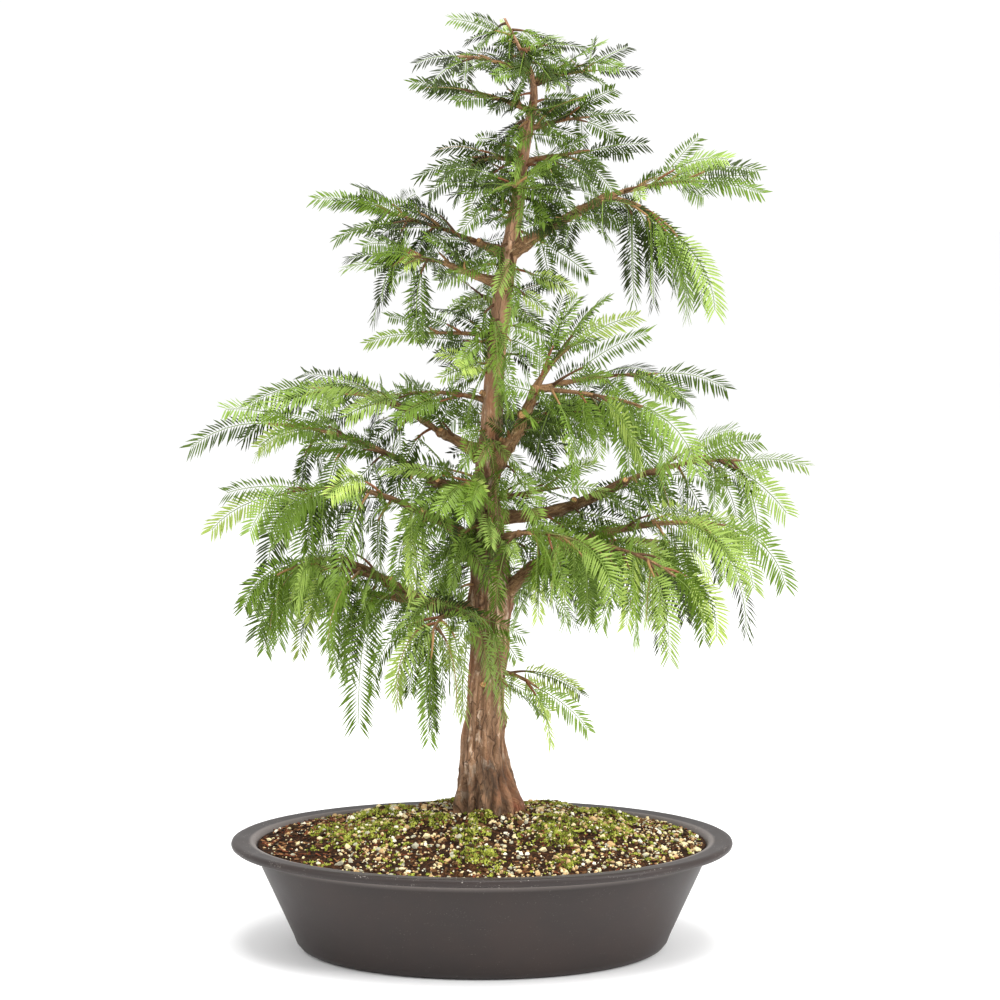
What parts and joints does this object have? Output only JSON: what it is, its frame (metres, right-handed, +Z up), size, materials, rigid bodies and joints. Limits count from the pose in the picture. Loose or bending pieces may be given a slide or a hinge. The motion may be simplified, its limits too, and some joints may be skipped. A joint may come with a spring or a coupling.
{
  "type": "dawn redwood bonsai in an oval pot",
  "caption": "Informal upright dawn redwood bonsai with layered boughs of feathery, drooping needle sprays, in a dark oval pot of mossy gravel soil.",
  "frame": {"origin": "middle of the pot's flat underside", "axes": "+Z up along the tree, +X along the pot's long side, +Y away from the side the tree is seen from"},
  "size_m": [0.5065, 0.371, 0.736],
  "materials": {
    "pot": "dark warm grey moulded bonsai pot, matt, faintly dusty along the lip",
    "soil": "dark brown potting grit with cream and grey gravel, bark bits and yellow-green moss",
    "bark": "fibrous red-brown bark with upright furrows and lighter peeling strips",
    "foliage": "soft flat needles, bright yellow-green at the tips and fresh to mid green inside"
  },
  "bodies": {
    "root": {"pot": "pot", "soil": "soil", "trunk": "bark", "bough_left_low": "bark", "bough_left_low_front": "bark", "bough_left_low_back": "bark", "bough_left_mid": "bark", "bough_left_shoulder": "bark", "bough_left_upper": "bark", "bough_right_low": "bark", "bough_right_low_front": "bark", "bough_right_low_back": "bark", "bough_right_mid": "bark", "bough_right_stub": "bark", "bough_right_rear": "bark", "bough_right_front": "bark", "bough_right_high": "bark", "bough_left_high": "bark", "bough_left_high_front": "bark", "bough_back_low": "bark", "bough_back_mid": "bark", "foliage_left_low": "foliage", "foliage_left_low_spur": "foliage", "foliage_left_low_front": "foliage", "foliage_left_low_back": "foliage", "foliage_left_mid": "foliage", "foliage_left_shoulder": "foliage", "foliage_left_upper": "foliage", "foliage_left_top": "foliage", "foliage_right_low": "foliage", "foliage_right_low_front": "foliage", "foliage_right_low_back": "foliage", "foliage_right_front": "foliage", "foliage_right_inner": "foliage", "foliage_right_mid": "foliage", "foliage_right_stub": "foliage", "foliage_right_fan": "foliage", "foliage_right_fan_low": "foliage", "foliage_right_rear": "foliage", "foliage_right_high": "foliage", "foliage_right_high_low": "foliage", "foliage_left_high": "foliage", "foliage_left_high_front": "foliage", "foliage_back_low": "foliage", "foliage_back_mid": "foliage", "foliage_back_high": "foliage", "foliage_low_right": "foliage", "foliage_front_mid": "foliage", "foliage_left_slim": "foliage", "foliage_crown_left": "foliage", "foliage_crown_right": "foliage", "foliage_crown_front": "foliage", "foliage_crown_back": "foliage", "foliage_leader_left": "foliage", "foliage_leader_right": "foliage", "foliage_leader_back": "foliage", "foliage_tip_left": "foliage", "foliage_tip_right": "foliage", "foliage_tip": "foliage"}
  },
  "joints": []
}
